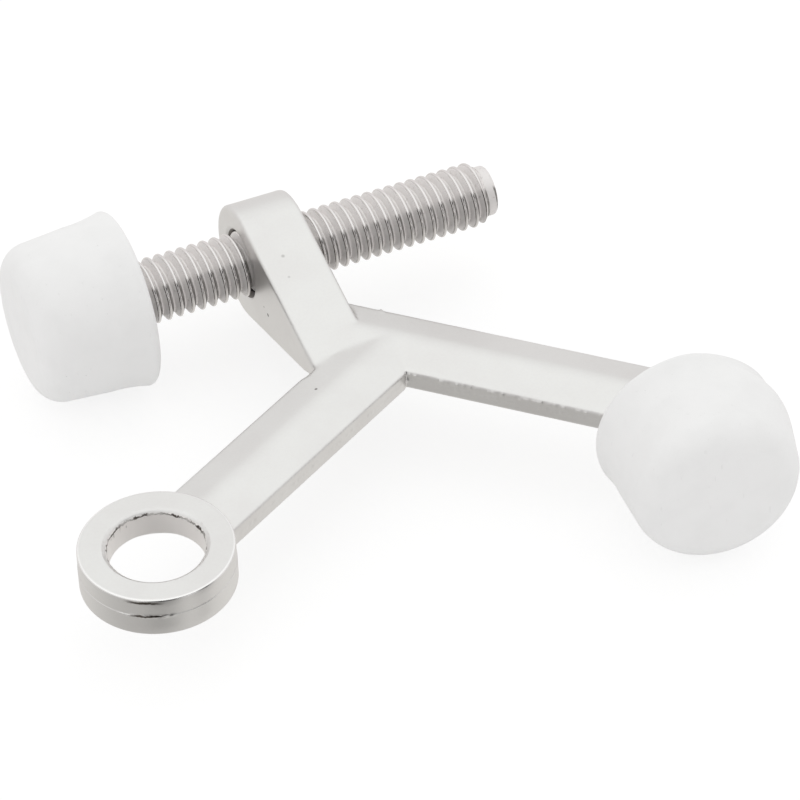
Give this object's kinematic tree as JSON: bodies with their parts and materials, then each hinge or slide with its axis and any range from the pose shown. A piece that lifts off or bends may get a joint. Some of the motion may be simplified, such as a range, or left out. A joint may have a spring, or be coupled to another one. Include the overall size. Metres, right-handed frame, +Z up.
{
  "type": "hinge pin door stop",
  "caption": "Hinge-pin door stop: cast ring and forked arms, an adjusting screw through a threaded lug, and a rubber bumper on the screw and on the fixed arm.",
  "frame": {"origin": "centre of the hinge-pin bore, on the casting's mid-plane", "axes": "+Z up along the hinge pin, +X along the adjusting screw away from its bumper, +Y from the ring towards the screw"},
  "size_m": [0.0805, 0.0726, 0.0212],
  "materials": {
    "satin_nickel": "satin nickel plating on cast zinc",
    "plated_steel": "bright nickel-plated steel",
    "white_rubber": "matte white rubber"
  },
  "bodies": {
    "body": {"cast_body": "satin_nickel", "fixed_bumper": "white_rubber"},
    "bumper": {"adjustable_bumper": "white_rubber"},
    "screw": {"threaded_rod": "plated_steel"}
  },
  "joints": [
    {"name": "screw_travel", "type": "slide", "parent": "body", "child": "bumper", "axis": [1, 0, 0], "range_m": [-0.0226, 0.01342]},
    {"name": "screw_turn", "type": "hinge", "parent": "bumper", "child": "screw", "pos_m": [0.0133, 0.043, 0], "axis": [1, 0, 0], "range_deg": [-5760, 3420]}
  ],
  "couplings": [
    {"joint": "screw_travel", "follows": "screw_turn", "m_per_rad": 0.00022459}
  ]
}
